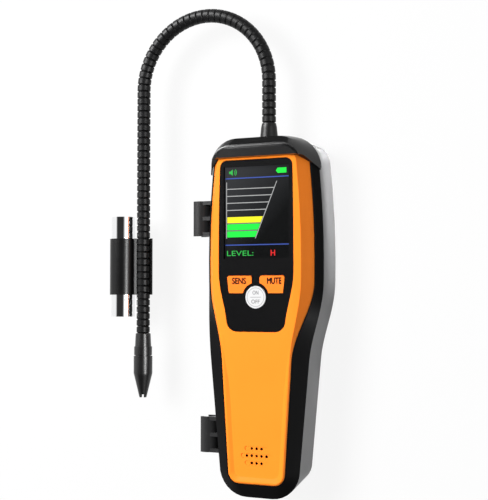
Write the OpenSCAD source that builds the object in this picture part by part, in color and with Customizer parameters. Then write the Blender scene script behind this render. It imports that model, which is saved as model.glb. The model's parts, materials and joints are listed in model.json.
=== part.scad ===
// Hand-held refrigerant leak detector with a jointed gooseneck probe.
// It lies on its back: X is to the right, Y runs up the case, Z points out of the front.
// The origin is the middle of the flat back, at half the length of the case.

/* [Case outline] */
// length of the case from its lower rim to the top of the rear shell
case_l = 214; // [210:0.2:222]
// thickness from the flat back to the front land
case_t = 45; // [44.6:0.1:46]
// full width of the rim across the head
head_w = 76.6; // [76:0.2:79]
// full width of the rim across the grip
grip_w = 61.4; // [60.4:0.2:64]
// full width of the orange panel across the grip
panel_w = 43.1; // [42:0.1:44]
// distance from the rim in to the orange edge at the head
edge_in = 3.9; // [3.6:0.1:4.2]
// height of the rim above the back at the head
rim_z_head = 31.5; // [31.4:0.1:32]
// height of the rim above the back at the grip
rim_z_grip = 40; // [39.5:0.1:40.5]
// height of the orange edge above the back at the head
edge_z_head = 36.8; // [36.5:0.1:37.2]
// height of the shoulder crease at the head
crease_z_head = 44.2; // [43.8:0.1:44.4]
// radius of the rounding round the back
back_r = 9; // [8.4:0.1:9.4]
// radius of the lower corners of the rim
low_corner_r = 18; // [17.4:0.2:20]
// radius of the upper corners of the back
top_corner_r = 13; // [12.8:0.1:14]
// radius of the upper corners of the rim
rim_corner_r = 19; // [18:0.2:20]

/* [Shell build] */
// wall of the rear shell
wall = 2.5; // [2.2:0.1:2.6]
// thickness of the roof of the front shell
roof_t = 4; // [3.8:0.1:4.2]
// gap between the orange shell and the black frame
seam = 0.25; // [0.15:0.05:0.35]
// depth of the dished field on the grip
field_d = 1.1; // [0.8:0.1:1.4]
// width of the bevel round the field
field_bevel = 2.4; // [2:0.1:2.8]
// how far the hood stands out past the rim
hood_out = 1.3; // [1.2:0.1:1.6]
// how far the brow of the hood stands out past the front land
brow_out = 3.6; // [3.4:0.1:4]

/* [Display and keys] */
// width of the display window
window_w = 42.4; // [41.6:0.2:42.6]
// length of the display window
window_l = 54.8; // [52:0.2:55]
// distance from the top of the case down to the middle of the window
window_drop = 44.3; // [44:0.1:45]
// thickness of the fascia panel
fascia_t = 1.8; // [1.6:0.1:1.9]
// radius of the round power key
power_r = 6.6; // [6.4:0.1:6.8]
// distance from the top of the case down to the power key
power_drop = 95; // [94.6:0.1:95.4]
// travel of the keys
key_travel = 0.6; // [0.4:0.1:0.8]
// how far the keys stand out past the fascia
key_proud = 0.4; // [0.3:0.1:0.8]
// gap round each key
key_gap = 0.3; // [0.25:0.05:0.4]

/* [Gooseneck] */
// radius over the ribs of the neck
neck_r = 4.25; // [4.1:0.05:4.3]
// height of the neck above the back
neck_z = 25.5; // [25.2:0.1:25.5]
// radius of the arch of the neck
arch_r = 44.6; // [43:0.1:48]
// height of the middle of the arch above the case
arch_up = 37.9; // [36:0.1:46]
// length of the ribbed leg that hangs from the arch
leg_l = 155.9; // [150:0.1:160]
// depth of the grooves between the ribs
groove_d = 0.55; // [0.45:0.05:0.6]
// width of the grooves between the ribs
groove_w = 0.8; // [0.7:0.05:0.9]
// radius of the air passage in the neck
air_r = 1.5; // [1.2:0.1:1.7]
// clearance round the balls between the lengths of neck
ball_gap = 0.15; // [0.1:0.01:0.2]
// radius of the boot at the case
boot_r = 5.7; // [5.5:0.05:5.75]
// length of the boot outside the case
boot_l = 11; // [9:0.2:11]

/* [Probe tip] */
// radius of the lower end of the ferrule
ferrule_r = 5.2; // [5:0.1:5.4]
// radius of the collar of the nozzle
collar_r = 5.75; // [5.6:0.05:5.9]
// radius of the barrel of the nozzle
barrel_r = 6; // [5.9:0.05:6.2]
// radius of the end of the nozzle
tip_r = 2.25; // [2.1:0.05:2.5]
// length of the cone of the nozzle
cone_l = 15.4; // [14:0.1:17]
// width of the slot in the end of the nozzle
slot_w = 1.5; // [1.2:0.1:1.8]
// depth of the slot in the end of the nozzle
slot_d = 2; // [1.6:0.1:3]

/* [Tube and its clip] */
// radius of the bright tube
tube_r = 7.7; // [7.4:0.1:8]
// length of the bright tube
tube_l = 64.4; // [60:0.1:70]
// length of the double clip
tube_clip_l = 36.2; // [32:0.2:40]
// wall of the double clip round the tube
tube_clip_wall = 0.9; // [0.8:0.05:1.2]
// wall of the double clip round the neck
grip_wall = 1.6; // [1.4:0.1:1.8]

/* [Wand clips] */
// length of each wand clip
clip_l = 21.8; // [20:0.2:24]
// clearance of a wand clip round the neck
clip_gap = 0.15; // [0.1:0.01:0.25]
// wall of the wand clips
clip_wall = 1.8; // [1.6:0.1:2]
// half angle of the mouth of a wand clip
clip_mouth = 55; // [54:0.5:57]

/* [Sound holes] */
// radius of a sound hole
hole_r = 0.85; // [0.7:0.05:1]
// distance between sound holes
hole_pitch = 3.2; // [3:0.1:3.4]
// distance between rows of sound holes
row_pitch = 4.3; // [4.1:0.1:4.6]

/* [Hidden] */
$fn = 48;
fit = 0.05;
eps = 0.01;
far = 400;

// outline of the case, with the head placed from its top and the grip from its lower end
low_y = -case_l / 2;
top_y = case_l / 2;
sweep_drop = 86.2;
sweep_l = 46;
sweep_high = top_y - sweep_drop;
sweep_low = sweep_high - sweep_l;
grip_up = 64.2;
grip_y = low_y + grip_up;
bow_drop = 73.2;
bow_in = 4.88;
rim_taper = 0.094;
panel_taper = 0.065;
draft_head = 2.1;
draft_grip = 5.8;
draft_low = 5;
draft_top = 2;
shoulder_in = 5.4;
land_in = 9.2;
grip_round = 0.8;
past = 2;
corner_steps = 8;
grip_steps = 4;
sweep_steps = 16;
head_steps = 5;

function clamped(t) = min(1, max(0, t));
function eased(t) = let(c = clamped(t)) c * c * (3 - 2 * c);
function mix(a, b, s) = a + (b - a) * s;
function sweep(y) = eased((sweep_high - y) / sweep_l);
function bowed(y) = bow_in * pow((y - top_y + bow_drop) / bow_drop, 2);
function rim_w(y) = mix(head_w / 2 - bowed(y), grip_w / 2 + rim_taper * (y - grip_y), sweep(y));
function edge_w(y) = mix(
    head_w / 2 - edge_in - bowed(y), panel_w / 2 + panel_taper * (y - grip_y), sweep(y)
);
function rim_z(y) = mix(rim_z_head, rim_z_grip, sweep(y));
function edge_z(y) = mix(edge_z_head, case_t - grip_round, sweep(y));
function crease_z(y) = mix(crease_z_head, case_t - eps, sweep(y));
function crease_in(y) = mix(shoulder_in, grip_round, sweep(y));
function land_w(y) = edge_w(y) - mix(land_in, 2 * grip_round, sweep(y));
function draft(y) = mix(draft_head, draft_grip, sweep(y));

grip_end = low_y + low_corner_r + past;
stations = concat(
    [for (i = [0:grip_steps - 1]) mix(grip_end, sweep_low - past, i / grip_steps)],
    [for (i = [0:sweep_steps]) mix(sweep_low - past, sweep_high + past, i / sweep_steps)],
    [for (i = [1:head_steps]) mix(sweep_high + past, top_y - rim_corner_r - past, i / head_steps)]
);

// A closed outline round the case, from width and height at each place along it.
function half_loop(w, z, yb, rb, yt, rt, ys) = concat(
    [for (i = [0:corner_steps])
        let(a = -90 + 90 * i / corner_steps, cy = yb + rb, y = cy + rb * sin(a))
        [w(cy) - rb + rb * cos(a), y, z(y)]],
    [for (y = ys) [w(y), y, z(y)]],
    [for (i = [0:corner_steps])
        let(a = 90 * i / corner_steps, cy = yt - rt, y = cy + rt * sin(a))
        [w(cy) - rt + rt * cos(a), y, z(y)]]
);
function closed(h) = concat(h, [for (i = [len(h) - 1:-1:0]) [-h[i][0], h[i][1], h[i][2]]]);
function loop(w, z, yb, rb, yt, rt, ys) = closed(half_loop(w, z, yb, rb, yt, rt, ys));
function flat(l) = [for (p = l) [p[0], p[1]]];

// A solid through a stack of such outlines, lowest first.
module skin(loops) {
    n = len(loops[0]);
    m = n / 2;
    k = len(loops);
    last = (k - 1) * n;
    sides = [for (j = [0:k - 2], i = [0:n - 1], t = [0, 1])
        let(a = j * n + i, b = j * n + (i + 1) % n)
        t == 0 ? [a, a + n, b + n] : [a, b + n, b]];
    low = [for (i = [0:m - 2], t = [0, 1])
        t == 0 ? [i, i + 1, n - 2 - i] : [i, n - 2 - i, n - 1 - i]];
    high = [for (i = [0:m - 2], t = [0, 1])
        t == 0
            ? [last + n - 2 - i, last + i + 1, last + i]
            : [last + n - 1 - i, last + n - 2 - i, last + i]];
    polyhedron(points = [for (l = loops, p = l) p], faces = concat(sides, low, high));
}

// outlines of the rear shell, grown inward by g
function rear_loop(a, g) = let(r = back_r - g, d = g + r * (1 - cos(a)))
    loop(
        function(y) rim_w(y) - draft(y) - d,
        function(y) g + r * (1 - sin(a)),
        low_y + draft_low + d, low_corner_r - draft_low - d,
        top_y - draft_top - d, top_corner_r - draft_top - d,
        stations
    );
function rim_loop(g, up) = loop(
    function(y) rim_w(y) - g,
    function(y) rim_z(y) + up,
    low_y + g, low_corner_r - g, top_y - g, rim_corner_r - g, stations
);
round_steps = [90, 72, 54, 36, 18, 0];

// outlines of the orange front
panel_low = low_y + 8.6;
panel_low_r = 7;
panel_top = top_y - wall - 0.8;
panel_top_r = 13;
crease_up = 2;
land_up = 3.6;
function edge_loop(g, z) = loop(
    function(y) edge_w(y) + g, z,
    panel_low - g, panel_low_r + g, panel_top + g, panel_top_r + g, stations
);
function crease_loop(g, z) = loop(
    function(y) edge_w(y) - crease_in(y) + g, z,
    panel_low + grip_round - g, panel_low_r - grip_round + g,
    panel_top - crease_up + g, panel_top_r - crease_up + g, stations
);
function land_loop(g, z) = loop(
    function(y) land_w(y) + g, z,
    panel_low + 2 * grip_round - g, panel_low_r - 2 * grip_round + g,
    panel_top - land_up + g, panel_top_r - land_up + g, stations
);

// heights in the case
roof_z = case_t - roof_t;
skirt_z = 1.5;
front_wall = 2.2;
fascia_low = 0.4 + fascia_t;
fascia_z = case_t - fascia_low;
fascia_top = fascia_z + fascia_t;
ledge_w = 1.5;
fascia_gap = 0.25;

// display and keys
window_y = top_y - window_drop;
power_y = top_y - power_drop;
window_gap = 0.2;
lcd_side = 0.4;
lcd_high = 1;
lcd_low = 3;

// fascia outline
fascia_hw = 24.6;
fascia_drop = 12.6;
fascia_under = 20.7;
fascia_yb = power_y - fascia_under;
fascia_yt = top_y - fascia_drop;
fascia_low_r = 7;
fascia_r = 4.5;
fascia_wide = 14.7;
fascia_wide_y = power_y + fascia_wide;
fascia_narrow = 5.6;
fascia_narrow_l = 34;
fascia_bow = 0.8;
fascia_bow_l = 51.6;
fascia_bow_y = fascia_yt - fascia_bow_l;
fascia_ys = concat(
    [for (i = [0:8]) mix(fascia_yb + fascia_low_r + 0.5, fascia_wide_y, i / 8)],
    [for (i = [1:4]) mix(fascia_wide_y, fascia_yt - fascia_r - past, i / 4)]
);
function fascia_in(y) = fascia_narrow * eased((fascia_wide_y - y) / fascia_narrow_l);
function fascia_curve(y) = fascia_bow * pow(max(0, (y - fascia_bow_y) / (fascia_yt - fascia_bow_y)), 2);
function fascia_w(y) = fascia_hw - fascia_in(y) - fascia_curve(y);
function fascia_loop(g) = flat(loop(
    function(y) fascia_w(y) + g, function(y) 0,
    fascia_yb - g, fascia_low_r + g, fascia_yt + g, fascia_r + g, fascia_ys
));

// keys
key_top_y = power_y + 12.7;
key_low_y = power_y + 2.4;
key_out_top = 18.8;
key_out_low = 17.7;
key_in = 2.6;
key_ring = 2.1;
key_chamfer = 0.9;
key_z = fascia_top + key_proud;
flange_t = 1;
flange_out = 0.9;
flange_l = 4;
flange_z = fascia_z - 0.2 - flange_t;
power_flange = 0.8;
stem_r = 1.5;
stem_l = 1;
stem_z = flange_z - stem_l;
switch_top = stem_z - key_travel - 0.1;
switch_w = 6;
board_t = 1.6;
board_z = 36.4;
board_top = board_z + board_t;
board_w = 44;
board_low = 3.4;
board_high = 1.6;
key_x = 11.5;
key_y = power_y + 8.6;

// field on the grip
field_in = 1.5;
field_low_r = 4.2;
field_top = fascia_yb - 4.6;
field_ramp = 34;
field_start = 0.03;
field_stations = [for (i = [0:10])
    mix(panel_low + field_in + field_low_r + field_bevel + 0.6, field_top - 9, i / 10)];

// screws
boss_r = 3;
boss_foot = 6;
boss_side = 5.7;
boss_high = 1.7;
head_boss_drop = 24.2;
head_boss_y = top_y - head_boss_drop;
head_boss_x = edge_w(head_boss_y) - boss_side;
low_boss_x = 9;
low_boss_up = 14.2;
low_boss_y = low_y + low_boss_up;
boss_spots = [
    [head_boss_x, head_boss_y, edge_z_head + boss_high],
    [-head_boss_x, head_boss_y, edge_z_head + boss_high],
    [low_boss_x, low_boss_y, roof_z + 0.5], [-low_boss_x, low_boss_y, roof_z + 0.5]
];
screw_r = 1.25;
screw_head_r = 2.6;
screw_sink = 3;
screw_l = 14;

// sound holes and speaker
sound_up = 25.2;
sound_y = low_y + sound_up;
sound_rows = [[-1, 3, 7.6], [0, 5, 10.1], [1, 3, 7.6]];
sound_slot_r = 1.35;
sound_slot_d = 0.4;
speaker_r = 9.5;
speaker_t = 4.5;

// hood, from the top of the case down
hood_drop = 36;
hood_r = 2;
hood_ys = [for (i = [0:4]) mix(top_y - hood_drop + hood_r + past, top_y - rim_corner_r - past, i / 4)];
hood_gap = 0.2;
brow_drop = 11.6;
tier_drop = 3.6;
brow_lean = 0.8;
ear_drop = 19.6;
ear_slope = 3.2;
ear_z = 5;
ear_chamfer = 5;

// neck
rib_step = 5.625;
arch_last = round(180 / rib_step) - 1;
arch_y = top_y + arch_up;
rib_pitch = 2 * PI * arch_r * rib_step / 360;
core_r = neck_r - groove_d;
rib_edge = 0.3;
ball_r = neck_r + 0.15;
ball_ribs = [2, 7, 13, 18, 24, 29];
left_ribs = round(leg_l / rib_pitch);
leg_pitch = leg_l / left_ribs;
neck_x = -2 * arch_r;
neck_end = arch_y - leg_l;
boss_out = top_y + hood_gap;
boss_l = 5.6;
boss_in = boss_out - boss_l;
boss_wall = 0.1;
boot_top = boss_out + boot_l;
boot_shoulder = 2.3;
boot_slim = 0.85;
boot_bore = core_r + fit;
spigot_r = 4.6;
right_ribs = floor((arch_y - boot_top - 0.3) / rib_pitch);
neck_in = boss_in - 7;
nut_l = 4.5;
nut_r = 7;

// probe tip
ferrule_l = 8.7;
ferrule_taper = 0.4;
ferrule_edge = 0.6;
collar_l = 5.4;
slit_l = 0.6;
slit_d = 0.7;
barrel_l = 11;
ferrule_end = neck_end - fit - ferrule_l;
barrel_end = ferrule_end - collar_l - slit_l - barrel_l;
nozzle_end = barrel_end - cone_l;
filter_r = 4.1;
slot_turn = 26;
filter_l = 8;

// tube and clip
sleeve_r = tube_r + fit + tube_clip_wall;
grip_bore = neck_r + fit;
grip_r = grip_bore + grip_wall;
bridge_gap = 0.6;
bridge_back = 4;
bridge_front = 2;
tube_x = neck_x - sleeve_r - grip_r - bridge_gap;
tube_drop = 113.3;
tube_y = arch_y - tube_drop;
grip_mouth = 75;
grip_turn = 26;
mouth_h = 12;
mouth_top = 19;

// wand clips, placed from the sides of the case
clip_bore = neck_r + clip_gap;
clip_r = clip_bore + clip_wall;
clip_up_drop = 46.2;
clip_down_up = 34.45;
clip_up_y = top_y - clip_up_drop;
clip_down_y = low_y + clip_down_up;
clip_up_out = 8.5;
clip_down_out = 13;
clip_up = [-rim_w(clip_up_y) - clip_up_out, clip_up_y];
clip_down = [-rim_w(clip_down_y) - clip_down_out, clip_down_y];
clip_rib = 2.4;
clip_rib_z = 5.4;
clip_reach = 30;
clip_open = 20;

// things inside
nipple_r = 2.2;
nipple_l = 4;
hose_r = 3.4;
hose_l = 9.8;
cell_r = 7;
cell_l = 44;
cell_y1 = neck_in - hose_l;
cell_y0 = cell_y1 - cell_l;
cradle_in = 8;
pump_l = 20;
pump_y1 = cell_y0 - 10;
pump_w = 18;
pump_h = 14;
motor_r = 7;
battery_r = 9.3;
battery_gap = 17;
battery_up = 36.2;
battery_y0 = low_y + battery_up;
battery_y1 = pump_y1 - pump_l / 2 - motor_r - battery_gap;
battery_l = battery_y1 - battery_y0;
battery_z = 13;
button_r = 2.5;
button_l = 1.2;
cradle_t = 3;
port_z = 20;
port_w = 8.9;
port_h = 3.2;
port_gap = 0.3;
port_l = 7.4;
port_wall = 0.35;
port_y = low_y + 2.4;
tongue_w = 6.6;
charge_w = 10;
charge_t = 1.2;
charge_in = 4.5;
charge_l = 20;

// a cylinder that runs up the case from y0 to y1
module along(x, y0, y1, z, r) {
    translate([x, y0, z]) rotate([-90, 0, 0]) cylinder(h = y1 - y0, r = r);
}

// a cone that runs up the case, radius r0 at y0 and r1 at y1
module taper_along(x, y0, y1, z, r0, r1) {
    translate([x, y0, z]) rotate([-90, 0, 0]) cylinder(h = y1 - y0, r1 = r0, r2 = r1);
}

// a cylinder that runs down the case from y1
module down_from(x, y1, l, z, r) {
    translate([x, y1, z]) rotate([90, 0, 0]) cylinder(h = l, r = r);
}

module block(x0, x1, y0, y1, z0, z1) {
    translate([x0, y0, z0]) cube([x1 - x0, y1 - y0, z1 - z0]);
}

// rear half of the case

module rear_solid() {
    skin(concat([for (a = round_steps) rear_loop(a, 0)], [rim_loop(0, 0)]));
}

module rear_room() {
    skin(concat([for (a = round_steps) rear_loop(a, wall)], [rim_loop(wall, 1)]));
}

module cradle(y, r, x0, z) {
    difference() {
        block(-x0, x0, y - cradle_t / 2, y + cradle_t / 2, wall - 0.5, z);
        along(0, y - cradle_t, y + cradle_t, z, r + fit);
    }
}

module port_shape(g) {
    r = port_h / 2 + g;
    for (s = [-1, 1])
        along(s * (port_w - port_h) / 2, low_y - port_l, port_y + port_l, port_z, r);
    half = (port_w - port_h) / 2;
    block(-half, half, low_y - port_l, port_y + port_l, port_z - r, port_z + r);
}

module rear_shell() {
    color([0.17, 0.17, 0.18])
    difference() {
        union() {
            difference() {
                rear_solid();
                rear_room();
            }
            along(0, boss_in, boss_out, neck_z, boot_r + boss_wall);
            for (p = boss_spots)
                translate([p[0], p[1], wall - 0.5]) cylinder(h = boss_foot - wall + 0.5, r = boss_r + 0.8);
            for (y = [battery_y0 + cradle_in, battery_y1 - cradle_in])
                cradle(y, battery_r, 7, battery_z);
            for (y = [cell_y0 + cradle_in, cell_y1 - cradle_in])
                cradle(y, cell_r, 5, neck_z);
        }
        along(0, boss_in - 1, boss_out + 1, neck_z, spigot_r + fit);
        for (p = boss_spots) {
            translate([p[0], p[1], -1]) cylinder(h = screw_sink + 1, r = screw_head_r + 0.3);
            translate([p[0], p[1], 0]) cylinder(h = boss_foot + 1, r = screw_r + 0.2);
        }
        port_shape(port_gap);
    }
}

module bumper_frame() {
    color([0.07, 0.07, 0.075])
    difference() {
        skin([rim_loop(0, 0), edge_loop(seam + 0.7, function(y) edge_z(y))]);
        skin([
            edge_loop(seam, function(y) rim_z(y) - 2),
            edge_loop(seam, function(y) edge_z(y) + 2)
        ]);
    }
}

// orange front half

function field_depth(y) = mix(field_start, field_d, eased((field_top - y) / field_ramp));
function field_loop(g, z) = loop(
    function(y) edge_w(y) - field_in + g(y), z,
    panel_low + field_in - g(panel_low), field_low_r, field_top, 1, field_stations
);

module field_cut() {
    skin([
        field_loop(
            function(y) -field_depth(y) * field_bevel / field_d, function(y) case_t - field_depth(y)
        ),
        field_loop(function(y) field_bevel / field_d, function(y) case_t + 1)
    ]);
}

module front_room() {
    skin([
        edge_loop(-front_wall, function(y) rim_z(y) - skirt_z - 3),
        edge_loop(-front_wall, function(y) mix(edge_z_head - 1.8, roof_z - 1, sweep(y))),
        crease_loop(-1.9, function(y) roof_z - mix(1.4, 0.5, sweep(y))),
        land_loop(-1.5, function(y) roof_z)
    ]);
}

module front_shell() {
    color([0.96, 0.5, 0.08])
    difference() {
        union() {
            difference() {
                skin([
                    edge_loop(0, function(y) rim_z(y) - skirt_z),
                    edge_loop(0, function(y) edge_z(y)),
                    crease_loop(0, function(y) crease_z(y)),
                    land_loop(0, function(y) case_t)
                ]);
                front_room();
            }
            for (p = boss_spots)
                translate([p[0], p[1], boss_foot]) cylinder(h = p[2] - boss_foot, r = boss_r);
        }
        field_cut();
        along(0, boss_in - 1, boss_out + 1, neck_z, boot_r + boss_wall + 0.3);
        translate([0, 0, fascia_z]) linear_extrude(height = fascia_low + 1) polygon(fascia_loop(0));
        translate([0, 0, roof_z - 1]) linear_extrude(height = roof_t) polygon(fascia_loop(-ledge_w));
        for (p = boss_spots)
            translate([p[0], p[1], boss_foot - 1]) cylinder(h = screw_l, r = screw_r);
        for (row = sound_rows) {
            y = sound_y + row[0] * row_pitch;
            half = (row[1] - 1) / 2;
            slot = row[2] - sound_slot_r;
            slot_z = case_t - field_d - sound_slot_d;
            for (i = [-half:half])
                translate([i * hole_pitch, y, roof_z - 1]) cylinder(h = roof_t + 2, r = hole_r);
            for (s = [-1, 1])
                translate([s * slot, y, slot_z]) cylinder(h = roof_t, r = sound_slot_r);
            block(-slot, slot, y - sound_slot_r, y + sound_slot_r, slot_z, case_t + 1);
        }
    }
}

// black cap with the brow

function hood_loop(w, z, yt, rt) = loop(w, function(y) z, top_y - hood_drop, hood_r, yt, rt, hood_ys);

module hood_shape() {
    brow_z = case_t + brow_out;
    skin([
        hood_loop(
            function(y) rim_w(y) + hood_out, rim_z_head, top_y + hood_out, rim_corner_r + hood_out
        ),
        hood_loop(function(y) edge_w(y) + 2.2, edge_z_head + 0.7, top_y + hood_out, rim_corner_r),
        hood_loop(function(y) edge_w(y) - 0.6, case_t - 1.5, top_y + 0.6, rim_corner_r - 2),
        hood_loop(function(y) edge_w(y) - 2, brow_z - 1.9, top_y - tier_drop, rim_corner_r - 6),
        hood_loop(function(y) edge_w(y) - 2.7, brow_z - 1.8, top_y - tier_drop - 1, rim_corner_r - 7.5),
        hood_loop(function(y) edge_w(y) - 3, brow_z - 0.6, top_y - tier_drop - 1.3, rim_corner_r - 8.5),
        hood_loop(function(y) edge_w(y) - 3.8, brow_z, top_y - tier_drop - 2.5, rim_corner_r - 10.5)
    ]);
}

module hood_room() {
    skin([
        for (z = [rim_z_head - 1, rim_z_head + 0.1])
            hood_loop(function(y) rim_w(y) + hood_gap, z, top_y + hood_gap, rim_corner_r + hood_gap),
        hood_loop(function(y) edge_w(y) + 1.3, edge_z_head + 0.2, panel_top + 1.3, panel_top_r + 1.3),
        hood_loop(function(y) edge_w(y) - shoulder_in + 0.4, crease_z_head + 0.3,
            panel_top - crease_up + 0.4, panel_top_r - crease_up + 0.4),
        hood_loop(
            function(y) land_w(y) + 0.3, case_t, panel_top - land_up + 0.3, panel_top_r - land_up + 0.3
        )
    ]);
}

module hood() {
    brow_y = top_y - brow_drop;
    ear_y = top_y - ear_drop;
    ear_w = rim_w(ear_y);
    color([0.06, 0.06, 0.065])
    difference() {
        hood_shape();
        hood_room();
        translate([-far / 2, 0, 0]) rotate([90, 0, 90]) linear_extrude(height = far)
            polygon([
                [top_y - hood_drop - 5, rim_z_head - ear_z], [ear_y - ear_slope, rim_z_head - ear_z],
                [ear_y, rim_z_head], [brow_y, case_t - 1.5], [brow_y + brow_lean, case_t + 10],
                [top_y - hood_drop - 5, case_t + 10]
            ]);
        for (s = [0, 1])
            mirror([s, 0, 0]) translate([0, 0, rim_z_head - 1]) linear_extrude(height = roof_t + 1)
                polygon([
                    [ear_w + 0.4, ear_y - 1], [ear_w + hood_out + 1, ear_y + ear_chamfer],
                    [ear_w + hood_out + 4, ear_y + ear_chamfer], [ear_w + hood_out + 4, ear_y - 1]
                ]);
    }
}

// display and fascia

module key_shape(g) {
    difference() {
        polygon([
            [-key_out_low - g, key_low_y - g], [-key_in + g, key_low_y - g],
            [-key_in + g, key_top_y - key_chamfer],
            [-key_in + g - key_chamfer, key_top_y + g], [-key_out_top - g + key_chamfer, key_top_y + g],
            [-key_out_top - g, key_top_y + g - key_chamfer]
        ]);
        translate([0, power_y]) circle(r = power_r + key_ring - g);
    }
}

module fascia_panel() {
    color([0.03, 0.03, 0.035])
    translate([0, 0, fascia_z]) linear_extrude(height = fascia_t) difference() {
        polygon(fascia_loop(-fascia_gap));
        translate([-window_w / 2 - window_gap, window_y - window_l / 2 - window_gap])
            square([window_w + 2 * window_gap, window_l + 2 * window_gap]);
        key_shape(key_gap);
        mirror([1, 0]) key_shape(key_gap);
        translate([0, power_y]) circle(r = power_r + key_gap);
    }
}

module display_lens() {
    color([0.1, 0.1, 0.12])
    block(-window_w / 2, window_w / 2, window_y - window_l / 2, window_y + window_l / 2,
        fascia_z, fascia_top - 0.1);
}

module lcd_module() {
    color([0.05, 0.06, 0.08])
    block(-window_w / 2 - lcd_side, window_w / 2 + lcd_side,
        window_y - window_l / 2 - lcd_low, window_y + window_l / 2 + lcd_high, board_top, fascia_z);
}

module main_board() {
    color([0.05, 0.3, 0.15])
    block(-board_w / 2, board_w / 2,
        fascia_yb + board_low, fascia_yt - board_high, board_z, board_top);
}

module key_switches() {
    color([0.7, 0.7, 0.72])
    for (p = [[-key_x, key_y], [key_x, key_y], [0, power_y]]) {
        translate([p[0] - switch_w / 2, p[1] - switch_w / 2, board_top])
            cube([switch_w, switch_w, (switch_top - board_top) * 0.6]);
        translate([p[0], p[1], board_top]) cylinder(h = switch_top - board_top, r = stem_r);
    }
}

module side_key() {
    translate([0, 0, flange_z]) linear_extrude(height = key_z - flange_z) key_shape(0);
    translate([0, flange_out, flange_z]) linear_extrude(height = flange_t) difference() {
        key_shape(0);
        translate([-far / 2, key_top_y - flange_l - far]) square([far, far]);
    }
    translate([-key_x, key_y, stem_z]) cylinder(h = key_z - stem_z - 0.5, r = stem_r);
}

module sens_key() {
    color([0.97, 0.55, 0.12]) side_key();
}

module mute_key() {
    color([0.97, 0.55, 0.12]) mirror([1, 0, 0]) side_key();
}

module power_key() {
    color([0.92, 0.92, 0.92])
    translate([0, power_y, 0]) {
        translate([0, 0, flange_z]) cylinder(h = key_z - flange_z, r = power_r);
        translate([0, 0, flange_z]) cylinder(h = flange_t, r = power_r + power_flange);
        translate([0, 0, stem_z]) cylinder(h = 2 * stem_l, r = stem_r);
    }
}

// things inside the case

module speaker() {
    color([0.2, 0.2, 0.2])
    translate([0, sound_y, roof_z - speaker_t]) {
        cylinder(h = speaker_t, r = speaker_r);
        translate([0, 0, -2]) cylinder(h = 2.5, r = speaker_r * 0.55);
    }
}

module battery_pack() {
    color([0.1, 0.3, 0.6]) {
        along(0, battery_y0, battery_y1, battery_z, battery_r);
        along(0, battery_y1 - 1, battery_y1 + button_l, battery_z, button_r);
    }
}

module sensor_cell() {
    color([0.75, 0.6, 0.25])
    difference() {
        union() {
            along(0, cell_y0, cell_y1, neck_z, cell_r);
            along(0, cell_y0 - nipple_l, cell_y1 + nipple_l, neck_z, nipple_r);
        }
        along(0, cell_y0 - nipple_l - 1, cell_y1 + nipple_l + 1, neck_z, air_r);
    }
}

module hose(y0, y1, in0, in1) {
    difference() {
        along(0, y0, y1, neck_z, hose_r);
        along(0, y0 - 1, y0 + in0, neck_z, nipple_r + fit);
        along(0, y1 - in1, y1 + 1, neck_z, nipple_r + fit);
        along(0, y0 - 1, y1 + 1, neck_z, air_r);
    }
}

module inlet_hose() {
    color([0.6, 0.6, 0.6]) hose(cell_y1 + fit, neck_in - fit, nipple_l, 0.5);
}

module pump_hose() {
    color([0.6, 0.6, 0.6]) hose(pump_y1 + fit, cell_y0 - fit, nipple_l, nipple_l);
}

module air_pump() {
    color([0.25, 0.25, 0.28])
    difference() {
        union() {
            block(-pump_w / 2, pump_w / 2, pump_y1 - pump_l, pump_y1,
                neck_z - pump_h / 2, neck_z + pump_h / 2);
            along(0, pump_y1 - 1, pump_y1 + nipple_l, neck_z, nipple_r);
        }
        along(0, pump_y1 - pump_l / 2, pump_y1 + nipple_l + 1, neck_z, air_r);
    }
}

module pump_motor() {
    color([0.6, 0.6, 0.62])
    translate([0, pump_y1 - pump_l / 2, wall]) cylinder(h = neck_z - pump_h / 2 - wall, r = motor_r);
}

module charge_board() {
    color([0.05, 0.3, 0.15])
    block(-charge_w / 2, charge_w / 2, port_y + charge_in, port_y + charge_l,
        port_z - port_h / 2 - charge_t, port_z - port_h / 2);
}

module charge_socket() {
    color([0.75, 0.75, 0.77])
    difference() {
        intersection() {
            port_shape(0);
            block(-port_w, port_w, port_y, port_y + port_l, 0, far);
        }
        difference() {
            intersection() {
                port_shape(-port_wall);
                block(-port_w, port_w, port_y - 1, port_y + port_l - 1, 0, far);
            }
            block(-tongue_w / 2, tongue_w / 2, port_y + 1, port_y + port_l,
                port_z - port_wall, port_z + port_wall);
        }
    }
}

module case_screws() {
    color([0.5, 0.5, 0.5])
    for (p = boss_spots)
        translate([p[0], p[1], 0]) difference() {
            union() {
                translate([0, 0, screw_sink - 1.6]) cylinder(h = 1.6, r = screw_head_r);
                translate([0, 0, screw_sink - 0.5]) cylinder(h = screw_l - screw_sink, r = screw_r - fit);
            }
            translate([0, 0, screw_sink - 2]) cylinder(h = 1.4, r = 1, $fn = 6);
        }
}

// channels on the left side that hold the neck when it is folded down

module wand_clip(p) {
    difference() {
        translate([p[0], p[1], neck_z]) {
            along(0, -clip_l / 2, clip_l / 2, 0, clip_r);
            for (y = [-clip_l / 2, -clip_rib / 2, clip_l / 2 - clip_rib])
                block(0, clip_reach, y, y + clip_rib, -clip_rib_z, clip_rib_z);
            block(0, clip_reach, -clip_l / 2, clip_l / 2, -clip_rib_z, -clip_rib_z + clip_rib);
        }
        translate([p[0], p[1], neck_z]) {
            along(0, -clip_l, clip_l, 0, clip_bore);
            rotate([90, 0, 0]) linear_extrude(height = 2 * clip_l, center = true)
                polygon([
                    [0, 0], [-clip_open, clip_open * tan(clip_mouth)],
                        [-clip_open, -clip_open * tan(clip_mouth)]
                ]);
        }
        rear_solid();
    }
}

module upper_wand_clip() {
    color([0.09, 0.09, 0.095]) wand_clip(clip_up);
}

module lower_wand_clip() {
    color([0.09, 0.09, 0.095]) wand_clip(clip_down);
}

// gooseneck

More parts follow.
